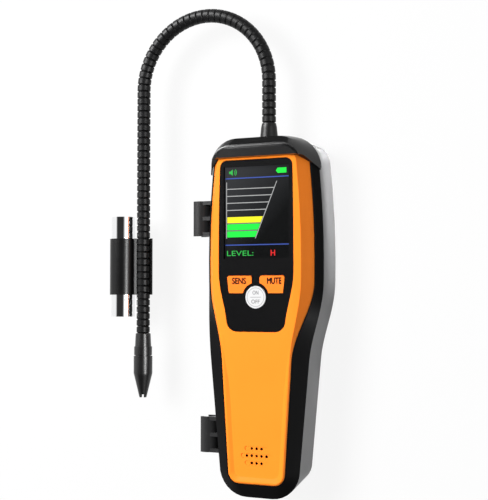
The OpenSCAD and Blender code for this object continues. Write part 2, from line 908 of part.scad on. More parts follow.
module rib(pitch) {
    h = (pitch - groove_w) / 2;
    rotate_extrude() polygon([
        [0, -h], [neck_r - rib_edge, -h], [neck_r, -h + rib_edge],
        [neck_r, h - rib_edge], [neck_r - rib_edge, h], [0, h]
    ]);
}

// moves things from the start of the arch to the angle a on it
module on_arch(a) {
    translate([-arch_r, arch_y, neck_z]) rotate([0, 0, a]) translate([arch_r, 0, 0]) children();
}

function rib_angle(k) = (k + 0.5) * rib_step;

module arch_tube(a0, a1, r) {
    translate([-arch_r, arch_y, neck_z]) rotate([0, 0, a0])
        rotate_extrude(angle = a1 - a0, $fn = 96) translate([arch_r, 0]) circle(r = r);
}

// the end of the arch from the angle a0 down to the straight length
module arch_tail(a0, r) {
    translate([-arch_r, arch_y, neck_z]) mirror([1, 0, 0])
        rotate_extrude(angle = 180 - a0, $fn = 96) translate([arch_r, 0]) circle(r = r);
}

module arch_ribs(k0, k1) {
    for (k = [k0:k1])
        on_arch(rib_angle(k)) rotate([-90, 0, 0]) rib(rib_pitch);
}

module ball(k, r) {
    on_arch(rib_angle(k)) sphere(r = r);
}

// the length of neck between two balls
module neck_link(i) {
    k0 = ball_ribs[i];
    k1 = ball_ribs[i + 1];
    difference() {
        union() {
            arch_tube(rib_angle(k0), rib_angle(k1), core_r);
            arch_ribs(k0 + 1, k1 - 1);
            ball(k1, ball_r);
        }
        ball(k0, ball_r + ball_gap);
        arch_tube(rib_angle(k0) - 1, rib_angle(k1) + 8, air_r);
    }
}

module neck_base() {
    color([0.08, 0.08, 0.085])
    difference() {
        union() {
            down_from(0, arch_y, arch_y - neck_in, neck_z, core_r);
            arch_tube(0, rib_angle(ball_ribs[0]), core_r);
            for (k = [0:right_ribs - 1])
                translate([0, arch_y - (k + 0.5) * rib_pitch, neck_z]) rotate([-90, 0, 0]) rib(rib_pitch);
            arch_ribs(0, ball_ribs[0] - 1);
            ball(ball_ribs[0], ball_r);
        }
        down_from(0, arch_y, arch_y - neck_in + 1, neck_z, air_r);
        arch_tube(0, rib_angle(ball_ribs[0]) + 8, air_r);
    }
}

module neck_1() {
    color([0.08, 0.08, 0.085]) neck_link(0);
}

module neck_2() {
    color([0.08, 0.08, 0.085]) neck_link(1);
}

module neck_3() {
    color([0.08, 0.08, 0.085]) neck_link(2);
}

module neck_4() {
    color([0.08, 0.08, 0.085]) neck_link(3);
}

module neck_5() {
    color([0.08, 0.08, 0.085]) neck_link(4);
}

module neck_6() {
    color([0.08, 0.08, 0.085])
    difference() {
        union() {
            arch_tail(rib_angle(ball_ribs[5]), core_r);
            arch_ribs(ball_ribs[5] + 1, arch_last);
            down_from(neck_x, arch_y, arch_y - ferrule_end - 3, neck_z, core_r);
            for (k = [0:left_ribs - 1])
                translate([neck_x, arch_y - (k + 0.5) * leg_pitch, neck_z])
                    rotate([-90, 0, 0]) rib(leg_pitch);
        }
        ball(ball_ribs[5], ball_r + ball_gap);
        arch_tail(rib_angle(ball_ribs[5]) - 1, air_r);
        down_from(neck_x, arch_y, arch_y - ferrule_end, neck_z, air_r);
    }
}

module neck_boot() {
    color([0.1, 0.1, 0.105])
    difference() {
        union() {
            along(0, boss_in, boss_out + 1, neck_z, spigot_r);
            taper_along(0, boss_out, boot_top - boot_shoulder, neck_z, boot_r, boot_r - boot_slim);
            taper_along(0, boot_top - boot_shoulder - eps, boot_top, neck_z, boot_r - boot_slim,
                neck_r + 0.1);
        }
        along(0, boss_in - 1, boot_top + 1, neck_z, boot_bore);
    }
}

module gland_nut() {
    color([0.6, 0.6, 0.62])
    difference() {
        translate([0, boss_in - nut_l, neck_z]) rotate([-90, 0, 0]) cylinder(h = nut_l, r = nut_r, $fn = 6);
        along(0, boss_in - nut_l - 1, boss_in + 1, neck_z, boot_bore);
    }
}

// probe tip

module neck_ferrule() {
    top = neck_end - fit;
    color([0.09, 0.09, 0.095])
    difference() {
        union() {
            taper_along(neck_x, ferrule_end, top - ferrule_edge, neck_z,
                ferrule_r, ferrule_r - ferrule_taper);
            taper_along(neck_x, top - ferrule_edge - eps, top, neck_z,
                ferrule_r - ferrule_taper, ferrule_r - ferrule_taper - ferrule_edge);
        }
        along(neck_x, ferrule_end - 1, neck_end + 1, neck_z, core_r + fit);
    }
}

module nozzle() {
    color([0.09, 0.09, 0.095])
    difference() {
        union() {
            along(neck_x, ferrule_end - 1, ferrule_end + 2.8, neck_z, core_r);
            along(neck_x, ferrule_end - collar_l, ferrule_end, neck_z, collar_r);
            along(neck_x, barrel_end, ferrule_end - collar_l, neck_z, collar_r - slit_d);
            along(neck_x, barrel_end, barrel_end + barrel_l, neck_z, barrel_r);
            taper_along(neck_x, nozzle_end, barrel_end, neck_z, tip_r, barrel_r);
        }
        along(neck_x, barrel_end, ferrule_end - 2, neck_z, filter_r);
        along(neck_x, nozzle_end - 1, ferrule_end + 4, neck_z, air_r);
        translate([neck_x, 0, neck_z]) rotate([0, slot_turn, 0])
            block(-slot_w / 2, slot_w / 2, nozzle_end - 1, nozzle_end + slot_d, -far, far);
    }
}

module tip_filter() {
    color([0.85, 0.85, 0.82])
    along(neck_x, barrel_end, barrel_end + filter_l, neck_z, filter_r - fit);
}

// bright tube and the double clip that holds it to the neck

function facing(a) = [sin(a), cos(a)];

module tube_clip() {
    color([0.07, 0.07, 0.075])
    difference() {
        union() {
            along(tube_x, tube_y - tube_clip_l / 2, tube_y + tube_clip_l / 2, neck_z, sleeve_r);
            along(neck_x, tube_y - tube_clip_l / 2, tube_y + tube_clip_l / 2, neck_z, grip_r);
            block(tube_x, neck_x, tube_y - tube_clip_l / 2, tube_y + tube_clip_l / 2,
                neck_z - bridge_back, neck_z + bridge_front);
        }
        along(tube_x, tube_y - tube_clip_l, tube_y + tube_clip_l, neck_z, tube_r + fit);
        along(neck_x, tube_y - tube_clip_l, tube_y + tube_clip_l, neck_z, grip_bore);
        translate([neck_x, tube_y, neck_z]) rotate([90, 0, 0])
            linear_extrude(height = 2 * tube_clip_l, center = true)
            polygon([
                [0, 0], mouth_h * facing(grip_turn + grip_mouth), mouth_top * facing(grip_turn),
                mouth_h * facing(grip_turn - grip_mouth)
            ]);
    }
}

module chrome_tube() {
    color([0.8, 0.8, 0.82])
    along(tube_x, tube_y - tube_l / 2, tube_y + tube_l / 2, neck_z, tube_r);
}

rear_shell();
bumper_frame();
front_shell();
hood();
fascia_panel();
display_lens();
lcd_module();
main_board();
key_switches();
speaker();
battery_pack();
sensor_cell();
inlet_hose();
pump_hose();
air_pump();
pump_motor();
charge_board();
charge_socket();
case_screws();
upper_wand_clip();
lower_wand_clip();
neck_boot();
gland_nut();
sens_key();
mute_key();
power_key();
neck_base();
neck_1();
neck_2();
neck_3();
neck_4();
neck_5();
neck_6();
neck_ferrule();
nozzle();
tip_filter();
tube_clip();
chrome_tube();
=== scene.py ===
# %% [markdown]
# A hand-held leak detector, dressed for its picture.
# The solids come from the CAD frame, which is in metres and lies on its back:
# X is to the right, Y runs up the case and Z points out of the front.
# This lesson puts a camera and light round it, gives each surface a finish,
# and makes the pieces that bend, print or glow.

# %% Load the frame
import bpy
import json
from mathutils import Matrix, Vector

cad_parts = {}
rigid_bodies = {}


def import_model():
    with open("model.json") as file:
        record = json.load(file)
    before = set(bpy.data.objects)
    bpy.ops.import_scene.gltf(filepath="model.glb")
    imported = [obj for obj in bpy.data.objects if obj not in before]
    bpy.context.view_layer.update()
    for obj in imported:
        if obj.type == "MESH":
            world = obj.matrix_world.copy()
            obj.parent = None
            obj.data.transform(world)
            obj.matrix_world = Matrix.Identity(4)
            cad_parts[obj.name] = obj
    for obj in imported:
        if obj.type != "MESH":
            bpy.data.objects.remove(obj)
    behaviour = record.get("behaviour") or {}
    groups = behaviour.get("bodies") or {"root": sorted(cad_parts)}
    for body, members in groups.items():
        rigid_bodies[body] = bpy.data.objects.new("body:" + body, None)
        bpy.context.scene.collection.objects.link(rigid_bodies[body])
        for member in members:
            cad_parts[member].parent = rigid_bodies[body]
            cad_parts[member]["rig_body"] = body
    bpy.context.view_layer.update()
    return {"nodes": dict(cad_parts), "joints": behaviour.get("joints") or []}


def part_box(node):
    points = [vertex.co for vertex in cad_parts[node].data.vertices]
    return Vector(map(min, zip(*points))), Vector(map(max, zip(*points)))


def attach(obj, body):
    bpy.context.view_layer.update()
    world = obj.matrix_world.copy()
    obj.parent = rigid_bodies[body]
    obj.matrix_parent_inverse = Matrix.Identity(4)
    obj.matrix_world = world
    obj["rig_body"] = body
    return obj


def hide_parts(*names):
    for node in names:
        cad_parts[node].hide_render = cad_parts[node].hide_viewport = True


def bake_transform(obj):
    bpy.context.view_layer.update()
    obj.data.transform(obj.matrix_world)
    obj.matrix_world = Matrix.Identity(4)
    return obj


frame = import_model()

import json
import math

import bmesh
import bpy
from mathutils import Matrix, Vector

nodes = frame["nodes"]
joints = {j["name"]: j for j in frame["joints"]}
MM = 0.001
scene = bpy.context.scene
scene.view_settings.view_transform = "Standard"

# %% [markdown]
# The camera stands where the photographer stood: in front of the lying case, turned
# 26 degrees to its right, level with its waist and tipped a little up towards the neck.
# A long lens keeps the sides of the case nearly parallel. Lens and tip are written in
# pixels of the picture, which is how they were read from it.

# %% Camera
IMAGE_LONG_SIDE = 500
FOCAL_PIXELS = 1115.0
TIP_PIXELS = 45.0
CAMERA_TURN = math.radians(26.0)
CAMERA_TIP = math.atan(TIP_PIXELS / FOCAL_PIXELS)
CAMERA_PLACE = Vector((283.98, 13.3, 642.76)) * MM


def add_camera():
    level = Vector((-math.sin(CAMERA_TURN), 0, -math.cos(CAMERA_TURN)))
    right = level.cross(Vector((0, 1, 0))).normalized()
    ahead = level * math.cos(CAMERA_TIP) + Vector((0, 1, 0)) * math.sin(CAMERA_TIP)
    up = right.cross(ahead)
    data = bpy.data.cameras.new("camera")
    data.sensor_width = 36.0
    data.lens = data.sensor_width * FOCAL_PIXELS / IMAGE_LONG_SIDE
    data.clip_start = 0.01
    camera = bpy.data.objects.new("camera", data)
    turn = Matrix((right, up, -ahead)).transposed().to_4x4()
    camera.matrix_world = Matrix.Translation(CAMERA_PLACE) @ turn
    scene.collection.objects.link(camera)
    scene.camera = camera
    return data.lens


print("lens", round(add_camera(), 2), "mm")

# %% [markdown]
# A finish is a small graph of shader nodes. Every surface here starts from the
# same three things: a base colour that drifts a little, a roughness that drifts
# a little, and a fine grain that tilts the light. One helper builds them, and each
# finish only states its own numbers. Object coordinates keep the grain in place
# when a piece moves.

# %% Finish helper
CLOUD_SCALE = 60.0
GRAIN_HEIGHT = 0.05 * MM


def finish(name, color, rough, drift=0.06, grain=0.0, grain_scale=2500.0, **sockets):
    """A plain surface with drifting colour and roughness and a fine grain."""
    mat = bpy.data.materials.new(name)
    mat.use_nodes = True
    tree = mat.node_tree
    shader = tree.nodes["Principled BSDF"]
    place = tree.nodes.new("ShaderNodeTexCoord")
    cloud = tree.nodes.new("ShaderNodeTexNoise")
    cloud.inputs["Scale"].default_value = CLOUD_SCALE
    cloud.inputs["Detail"].default_value = 3.0
    tree.links.new(place.outputs["Object"], cloud.inputs["Vector"])
    tint = tree.nodes.new("ShaderNodeMix")
    tint.data_type = "RGBA"
    tint.inputs["A"].default_value = [c * (1 - drift) for c in color] + [1]
    tint.inputs["B"].default_value = [min(1, c * (1 + drift)) for c in color] + [1]
    tree.links.new(cloud.outputs["Fac"], tint.inputs["Factor"])
    tree.links.new(tint.outputs["Result"], shader.inputs["Base Color"])
    sheen = tree.nodes.new("ShaderNodeMapRange")
    sheen.inputs["To Min"].default_value = rough * 0.9
    sheen.inputs["To Max"].default_value = min(1, rough * 1.12)
    tree.links.new(cloud.outputs["Fac"], sheen.inputs["Value"])
    tree.links.new(sheen.outputs["Result"], shader.inputs["Roughness"])
    if grain:
        fine = tree.nodes.new("ShaderNodeTexNoise")
        fine.inputs["Scale"].default_value = grain_scale
        fine.inputs["Detail"].default_value = 2.0
        tree.links.new(place.outputs["Object"], fine.inputs["Vector"])
        bump = tree.nodes.new("ShaderNodeBump")
        bump.inputs["Strength"].default_value = grain
        bump.inputs["Distance"].default_value = GRAIN_HEIGHT
        tree.links.new(fine.outputs["Fac"], bump.inputs["Height"])
        tree.links.new(bump.outputs["Normal"], shader.inputs["Normal"])
    for socket, value in sockets.items():
        shader.inputs[socket.replace("_", " ")].default_value = value
    return mat


def glow(name, color, strength):
    """A lit line of the display, with a slight unevenness along it."""
    mat = finish(name, [c * 0.1 for c in color], 0.6, drift=0.04, Specular_IOR_Level=0.1)
    shader = mat.node_tree.nodes["Principled BSDF"]
    shader.inputs["Emission Color"].default_value = list(color) + [1]
    shader.inputs["Emission Strength"].default_value = strength
    return mat


# %% [markdown]
# The finishes themselves. The orange shell and the keys are moulded in one colour
# with a fine satin texture. The rear half is a smoother grey plastic that catches
# light from the side. The frame, hood and clips are black, the panel and the window
# glossy, and the tube is bright metal. The walls of the sound holes over the speaker
# are painted dark, a painted shade that stands in for the shadow deep in the holes.

# %% Finishes
ORANGE = finish("orange_shell", (0.98, 0.24, 0.02), 0.5, 0.03, 0.12, Specular_IOR_Level=0.04)
ORANGE_KEY = finish("orange_key", (0.98, 0.195, 0.018), 0.5, 0.03, 0.1, Specular_IOR_Level=0.06)
REAR = finish("rear_plastic", (0.2, 0.2, 0.203), 0.36, 0.04, 0.08, Specular_IOR_Level=0.05)
BLACK = finish("black_frame", (0.004, 0.004, 0.0042), 0.42, 0.08, 0.1, Specular_IOR_Level=0.03)
HOOD = finish("black_hood", (0.004, 0.004, 0.0043), 0.21, 0.08, 0.04, Specular_IOR_Level=0.42)
CLIP = finish("black_clip", (0.018, 0.018, 0.0185), 0.35, 0.08, 0.08, Specular_IOR_Level=0.25)
SLEEVE = finish("black_sleeve", (0.004, 0.004, 0.0042), 0.31, 0.08, Specular_IOR_Level=0.22)
RUBBER_SCALE = 1800.0
NECK = finish("black_neck", (0.005, 0.005, 0.0053), 0.42, 0.1, 0.015, RUBBER_SCALE,
              Specular_IOR_Level=0.15)
BOOT = finish("boot_rubber", (0.006, 0.006, 0.0063), 0.4, 0.08, 0.1, RUBBER_SCALE,
              Specular_IOR_Level=0.2)
TIP = finish("black_tip", (0.005, 0.005, 0.0052), 0.34, 0.06, Specular_IOR_Level=0.42)
PANEL = finish("glossy_panel", (0.005, 0.005, 0.0053), 0.2, 0.05, Specular_IOR_Level=0.08)
WHITE_KEY = finish("white_key", (0.55, 0.55, 0.555), 0.45, 0.02, 0.06, Specular_IOR_Level=0.2)
GREY_PRINT = finish("grey_print", (0.16, 0.16, 0.165), 0.6, 0.05, Specular_IOR_Level=0.1)
PALE_PRINT = finish("pale_print", (0.33, 0.33, 0.335), 0.6, 0.05, Specular_IOR_Level=0.1)
BLACK_PRINT = finish("black_print", (0.006, 0.005, 0.004), 0.6, 0.08, Specular_IOR_Level=0.03)
BRIGHT = finish("bright_tube", (0.88, 0.885, 0.89), 0.07, 0.015, Metallic=1.0)
STEEL = finish("steel", (0.56, 0.56, 0.58), 0.3, 0.06, 0.1, Metallic=1.0)
BRASS = finish("brass_cell", (0.75, 0.52, 0.2), 0.3, 0.06, 0.1, Metallic=1.0)
BOARD = finish("board_green", (0.02, 0.14, 0.06), 0.45, 0.15, 0.1)
DARK = finish("dark_plastic", (0.03, 0.03, 0.033), 0.5, 0.08, 0.15)
CELL_WRAP = finish("cell_wrap", (0.03, 0.12, 0.35), 0.25, 0.06)
HOSE = finish("hose_rubber", (0.3, 0.3, 0.3), 0.55, 0.08, 0.15)
PAPER = finish("filter_paper", (0.75, 0.75, 0.71), 0.9, 0.06, 0.3, 900.0)


MIRROR_SHARE = (0.004, 0.008)
# Painted glare on the bare screen: a glow that stands in for light mirrored in the window at its
# upper left.
PAINTED_GLARE_FROM = (0.045, 0.105)
PAINTED_GLARE_GLOW = 0.045


def window_glass():
    """A thin clear pane: most light goes straight through, a little is mirrored."""
    mat = bpy.data.materials.new("window_glass")
    mat.use_nodes = True
    tree = mat.node_tree
    tree.nodes.remove(tree.nodes["Principled BSDF"])
    clear = tree.nodes.new("ShaderNodeBsdfTransparent")
    clear.inputs["Color"].default_value = (0.97, 0.98, 0.98, 1)
    mirror = tree.nodes.new("ShaderNodeBsdfGlossy")
    mirror.inputs["Roughness"].default_value = 0.05
    place = tree.nodes.new("ShaderNodeTexCoord")
    smear = tree.nodes.new("ShaderNodeTexNoise")
    smear.inputs["Scale"].default_value = 40.0
    tree.links.new(place.outputs["Object"], smear.inputs["Vector"])
    amount = tree.nodes.new("ShaderNodeMapRange")
    amount.inputs["To Min"].default_value = MIRROR_SHARE[0]
    amount.inputs["To Max"].default_value = MIRROR_SHARE[1]
    tree.links.new(smear.outputs["Fac"], amount.inputs["Value"])
    mix = tree.nodes.new("ShaderNodeMixShader")
    tree.links.new(amount.outputs["Result"], mix.inputs["Fac"])
    tree.links.new(clear.outputs[0], mix.inputs[1])
    tree.links.new(mirror.outputs[0], mix.inputs[2])
    tree.links.new(mix.outputs[0], tree.nodes["Material Output"].inputs["Surface"])
    return mat


def screen_with_painted_glare():
    """The unlit part of the display with a painted glare: a faint glow that fades from its upper
    left corner, standing in for light mirrored in the window.
    """
    mat = finish("screen_black_painted_glare", (0.0015, 0.0016, 0.0018), 0.6, 0.1, Specular_IOR_Level=0.03)
    tree = mat.node_tree
    place = tree.nodes["Texture Coordinate"]
    parts = tree.nodes.new("ShaderNodeSeparateXYZ")
    tree.links.new(place.outputs["Object"], parts.inputs["Vector"])
    lean = tree.nodes.new("ShaderNodeMath")
    lean.operation = "SUBTRACT"
    tree.links.new(parts.outputs["Y"], lean.inputs[0])
    tree.links.new(parts.outputs["X"], lean.inputs[1])
    painted_glare_fade = tree.nodes.new("ShaderNodeMapRange")
    painted_glare_fade.inputs["From Min"].default_value = PAINTED_GLARE_FROM[0]
    painted_glare_fade.inputs["From Max"].default_value = PAINTED_GLARE_FROM[1]
    painted_glare_fade.inputs["To Min"].default_value = 0.0
    painted_glare_fade.inputs["To Max"].default_value = PAINTED_GLARE_GLOW
    tree.links.new(lean.outputs[0], painted_glare_fade.inputs["Value"])
    shader = tree.nodes["Principled BSDF"]
    shader.inputs["Emission Color"].default_value = (0.9, 0.92, 1.0, 1)
    tree.links.new(painted_glare_fade.outputs["Result"], shader.inputs["Emission Strength"])
    return mat


def repaint_box(mat, low, high, color):
    """Gives a finish another base colour inside a box."""
    tree = mat.node_tree
    last = tree.nodes["Texture Coordinate"].outputs["Object"]
    middle, half = (low + high) / 2, (high - low) / 2
    for kind, amount in (("SUBTRACT", middle), ("DIVIDE", half), ("ABSOLUTE", None)):
        step = tree.nodes.new("ShaderNodeVectorMath")
        step.operation = kind
        tree.links.new(last, step.inputs[0])
        if amount is not None:
            step.inputs[1].default_value = amount
        last = step.outputs["Vector"]
    parts = tree.nodes.new("ShaderNodeSeparateXYZ")
    tree.links.new(last, parts.inputs["Vector"])
    far = parts.outputs["X"]
    for way in "YZ":
        most = tree.nodes.new("ShaderNodeMath")
        most.operation = "MAXIMUM"
        tree.links.new(far, most.inputs[0])
        tree.links.new(parts.outputs[way], most.inputs[1])
        far = most.outputs[0]
    inside = tree.nodes.new("ShaderNodeMath")
    inside.operation = "LESS_THAN"
    inside.inputs[1].default_value = 1.0
    tree.links.new(far, inside.inputs[0])
    shader = tree.nodes["Principled BSDF"]
    paint = tree.nodes.new("ShaderNodeMix")
    paint.data_type = "RGBA"
    paint.inputs["B"].default_value = (*color, 1)
    tree.links.new(inside.outputs[0], paint.inputs["Factor"])
    tree.links.new(shader.inputs["Base Color"].links[0].from_socket, paint.inputs["A"])
    tree.links.new(paint.outputs["Result"], shader.inputs["Base Color"])


GLASS = window_glass()
SCREEN_WITH_PAINTED_GLARE = screen_with_painted_glare()
# The sound hole walls get painted shade: a dark base colour inside a box round them, standing in
# for the shadow that falls deep in the narrow holes.
HOLE_FIELD = Vector((8.0, 6.0, 0)) * MM
HOLE_ROOM = Vector((0, 0, 2.44)) * MM
HOLE_PAINTED_SHADE = (0.02, 0.008, 0.004)
speaker_low, speaker_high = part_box("speaker")
speaker_top = Vector((0, (speaker_low.y + speaker_high.y) / 2, speaker_high.z))
repaint_box(ORANGE, speaker_top - HOLE_FIELD, speaker_top + HOLE_FIELD + HOLE_ROOM, HOLE_PAINTED_SHADE)

NODE_FINISH = {
    "fascia_panel": PANEL, "display_lens": GLASS, "lcd_module": SCREEN_WITH_PAINTED_GLARE, "main_board": BOARD,
    "key_switches": STEEL, "speaker": DARK, "battery_pack": CELL_WRAP, "sensor_cell": BRASS,
    "inlet_hose": HOSE, "pump_hose": HOSE, "air_pump": DARK, "pump_motor": STEEL,
    "charge_board": BOARD, "charge_socket": STEEL, "case_screws": STEEL, "gland_nut": STEEL,
    "tip_filter": PAPER,
}
for node_name, mat in NODE_FINISH.items():
    nodes[node_name].data.materials.clear()
    nodes[node_name].data.materials.append(mat)
print("finishes", len(bpy.data.materials))

# %% [markdown]
# The moulded shells come from the CAD as loose triangles, which would show as flat
# facets. A copy of each is welded and shaded smooth wherever its faces meet at a
# shallow angle, so that curves read as curves and true edges stay sharp. The copy
# stands for the node, and moves with the node's body.

# %% Smooth copies of the moulded pieces
WELD = 2e-6
FACE_WEIGHT = 60


def body_of(node_name):
    return nodes[node_name]["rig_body"]


def add_piece(name, mesh, mat):
    piece = bpy.data.objects.new(name, mesh)
    scene.collection.objects.link(piece)
    mesh.materials.clear()
    mesh.materials.append(mat)
    return piece


def smooth_copy(node_name, mat, angle):
    mesh = nodes[node_name].data.copy()
    bm = bmesh.new()
    bm.from_mesh(mesh)
    bmesh.ops.remove_doubles(bm, verts=bm.verts, dist=WELD)
    bm.to_mesh(mesh)
    bm.free()
    mesh.attributes.remove(mesh.attributes["custom_normal"])
    mesh.shade_smooth()
    mesh.set_sharp_from_angle(angle=angle)
    draft = bpy.data.objects.new(node_name + "_draft", mesh)
    scene.collection.objects.link(draft)
    level = draft.modifiers.new("level", "WEIGHTED_NORMAL")
    level.keep_sharp = True
    level.weight = FACE_WEIGHT
    graph = bpy.context.evaluated_depsgraph_get()
    mesh = bpy.data.meshes.new_from_object(draft.evaluated_get(graph), depsgraph=graph)
    bpy.data.objects.remove(draft)
    piece = add_piece(node_name + "_skin", mesh, mat)
    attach(piece, body_of(node_name))
    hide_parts(node_name)
    return piece


MOULDED = {
    "rear_shell": REAR, "bumper_frame": BLACK, "front_shell": ORANGE, "hood": HOOD,
    "upper_wand_clip": CLIP, "lower_wand_clip": CLIP, "neck_boot": BOOT, "sens_key": ORANGE_KEY,
    "mute_key": ORANGE_KEY, "power_key": WHITE_KEY, "neck_ferrule": TIP, "nozzle": TIP,
    "tube_clip": SLEEVE, "chrome_tube": BRIGHT,
}
EDGE_ANGLE = 26
CRISP = {"sens_key": 12, "mute_key": 12, "power_key": 20, "bumper_frame": 40, "front_shell": 18}
for node_name, mat in MOULDED.items():
    smooth_copy(node_name, mat, math.radians(CRISP.get(node_name, EDGE_ANGLE)))
print("smooth copies", len(MOULDED))

# %% [markdown]
# The gooseneck is the piece that takes most care. The CAD has it in seven rigid lengths
# that turn on balls, and the real one bends as one skin. Here a Geometry Nodes tree runs
# a round profile along a curve and lets the radius rise and fall with the distance along it,
# so each rib is a flat band between two narrow grooves. One stretch of skin crosses each
# ball, from the middle of one length to the middle of the next.

# %% The tree that ribs a curve


def ribbed_skin_tree():
    tree = bpy.data.node_groups.new("ribbed_skin", "GeometryNodeTree")
    tree.interface.new_socket("Geometry", in_out="INPUT", socket_type="NodeSocketGeometry")
    for name in ("Crown radius", "Groove depth", "Groove half width"):
        tree.interface.new_socket(name, in_out="INPUT", socket_type="NodeSocketFloat")
    for name in ("Ribs", "Points", "Sides"):
        tree.interface.new_socket(name, in_out="INPUT", socket_type="NodeSocketInt")
    tree.interface.new_socket("Material", in_out="INPUT", socket_type="NodeSocketMaterial")
    tree.interface.new_socket("Geometry", in_out="OUTPUT", socket_type="NodeSocketGeometry")
    new, link = tree.nodes.new, tree.links.new
    given = new("NodeGroupInput")
    path = new("GeometryNodeResampleCurve")
    link(given.outputs["Geometry"], path.inputs["Curve"])
    link(given.outputs["Points"], path.inputs["Count"])
    along = new("GeometryNodeSplineParameter")
    whole = new("GeometryNodeSplineLength")

    def math_node(kind, a, b=None):
        node = new("ShaderNodeMath")
        node.operation = kind
        for socket, value in zip(node.inputs, (a, b)):
            if value is None:
                continue
            if isinstance(value, (int, float)):
                socket.default_value = value
            else:
                link(value, socket)
        return node.outputs[0]

    turn = math_node("FRACT", math_node("MULTIPLY", along.outputs["Factor"], given.outputs["Ribs"]))
    near = math_node("MINIMUM", turn, math_node("SUBTRACT", 1.0, turn))
    pitch = math_node("DIVIDE", whole.outputs["Length"], given.outputs["Ribs"])
    away = math_node("MULTIPLY", near, pitch)
    rise = new("ShaderNodeMapRange")
    link(away, rise.inputs["Value"])
    link(math_node("MULTIPLY", given.outputs["Groove half width"], 0.2), rise.inputs["From Min"])
    link(given.outputs["Groove half width"], rise.inputs["From Max"])
    low = math_node("SUBTRACT", given.outputs["Crown radius"], given.outputs["Groove depth"])
    link(low, rise.inputs["To Min"])
    link(given.outputs["Crown radius"], rise.inputs["To Max"])
    swell = new("GeometryNodeSetCurveRadius")
    link(path.outputs["Curve"], swell.inputs["Curve"])
    link(rise.outputs["Result"], swell.inputs["Radius"])
    ring = new("GeometryNodeCurvePrimitiveCircle")
    ring.inputs["Radius"].default_value = 1.0
    link(given.outputs["Sides"], ring.inputs["Resolution"])
    skin = new("GeometryNodeCurveToMesh")
    skin.inputs["Fill Caps"].default_value = True
    link(swell.outputs["Curve"], skin.inputs["Curve"])
    link(ring.outputs["Curve"], skin.inputs["Profile Curve"])
    if "Scale" in skin.inputs:
        radius = new("GeometryNodeInputRadius")
        link(radius.outputs["Radius"], skin.inputs["Scale"])
    real = new("GeometryNodeRealizeInstances")
    link(skin.outputs["Mesh"], real.inputs["Geometry"])
    paint = new("GeometryNodeSetMaterial")
    link(real.outputs["Geometry"], paint.inputs["Geometry"])
    link(given.outputs["Material"], paint.inputs["Material"])
    done = new("NodeGroupOutput")
    link(paint.outputs["Geometry"], done.inputs["Geometry"])
    return tree


RIBBED_SKIN = ribbed_skin_tree()
print("tree", RIBBED_SKIN.name, "nodes", len(RIBBED_SKIN.nodes))

# %% [markdown]
# The route of the neck is worked out from the frame: the six joints lie on the arch, so
# the outer two give its middle and radius. The arch is counted in ribs, because the
# joints sit on ribs, and the skin is cut in grooves half way between two joints.

# %% Route of the neck
RIB_ANGLE = math.radians(5.625)
BALL_RIBS = (2, 7, 13, 18, 24, 29)
ARCH_RIBS = 32
LEG_RIBS = 36
RIGHT_RIBS = 7
CUTS = (-RIGHT_RIBS, 5, 10, 16, 21, 27, ARCH_RIBS)
CROWN_RADIUS = 4.25 * MM
GROOVE_DEPTH = 0.7 * MM
GROOVE_HALF_WIDTH = 0.62 * MM
POINTS_PER_RIB = 20
SIDES = 32

first = Vector(joints["neck_bend_1"]["pos_m"])
last = Vector(joints["neck_bend_6"]["pos_m"])
half_span = (BALL_RIBS[5] - BALL_RIBS[0]) * RIB_ANGLE / 2
ARCH_RADIUS = (first - last).length / 2 / math.sin(half_span)
ARCH_MIDDLE = (first + last) / 2 - Vector((0, ARCH_RADIUS * math.cos(half_span), 0))
RIB_PITCH = ARCH_RADIUS * RIB_ANGLE
leg_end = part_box("neck_ferrule")[1].y
LEG_PITCH = (ARCH_MIDDLE.y - leg_end) / LEG_RIBS


def route(rib):
    """The point of the neck at a number of ribs from the start of the arch."""
    if rib < 0:
        return ARCH_MIDDLE + Vector((ARCH_RADIUS, rib * RIB_PITCH, 0))
    if rib > ARCH_RIBS:
        return ARCH_MIDDLE - Vector((ARCH_RADIUS, (rib - ARCH_RIBS) * LEG_PITCH, 0))
    a = rib * RIB_ANGLE
    return ARCH_MIDDLE + ARCH_RADIUS * Vector((math.cos(a), math.sin(a), 0))


print("arch radius", round(ARCH_RADIUS / MM, 2), "mm, rib pitch", round(RIB_PITCH / MM, 3), "mm")

# %% Skin of the neck
PATH_STEPS_PER_RIB = 4
GROOVE_ANGLE = math.radians(35)


def set_input(modifier, name, value):
    items = RIBBED_SKIN.interface.items_tree
    item = next(i for i in items if i.name == name and i.in_out == "INPUT")
    modifier[item.identifier] = value


def ribbed_stretch(name, rib0, rib1):
    """The skin of the neck between two grooves, as a plain mesh."""
    steps = (rib1 - rib0) * PATH_STEPS_PER_RIB
    data = bpy.data.curves.new(name + "_path", "CURVE")
    data.dimensions = "3D"
    spline = data.splines.new("POLY")
    spline.points.add(steps)
    for i in range(steps + 1):
        p = route(rib0 + (rib1 - rib0) * i / steps)
        spline.points[i].co = (p.x, p.y, p.z, 1)
    path = bpy.data.objects.new(name + "_path", data)
    scene.collection.objects.link(path)
    modifier = path.modifiers.new("ribs", "NODES")
    modifier.node_group = RIBBED_SKIN
    set_input(modifier, "Crown radius", CROWN_RADIUS)
    set_input(modifier, "Groove depth", GROOVE_DEPTH)
    set_input(modifier, "Groove half width", GROOVE_HALF_WIDTH)
    set_input(modifier, "Ribs", rib1 - rib0)
    set_input(modifier, "Points", (rib1 - rib0) * POINTS_PER_RIB + 1)
    set_input(modifier, "Sides", SIDES)
    set_input(modifier, "Material", NECK)
    graph = bpy.context.evaluated_depsgraph_get()
    mesh = bpy.data.meshes.new_from_object(path.evaluated_get(graph), depsgraph=graph)
    bpy.data.objects.remove(path)
    mesh.shade_smooth()
    mesh.set_sharp_from_angle(angle=GROOVE_ANGLE)
    return add_piece(name, mesh, NECK)


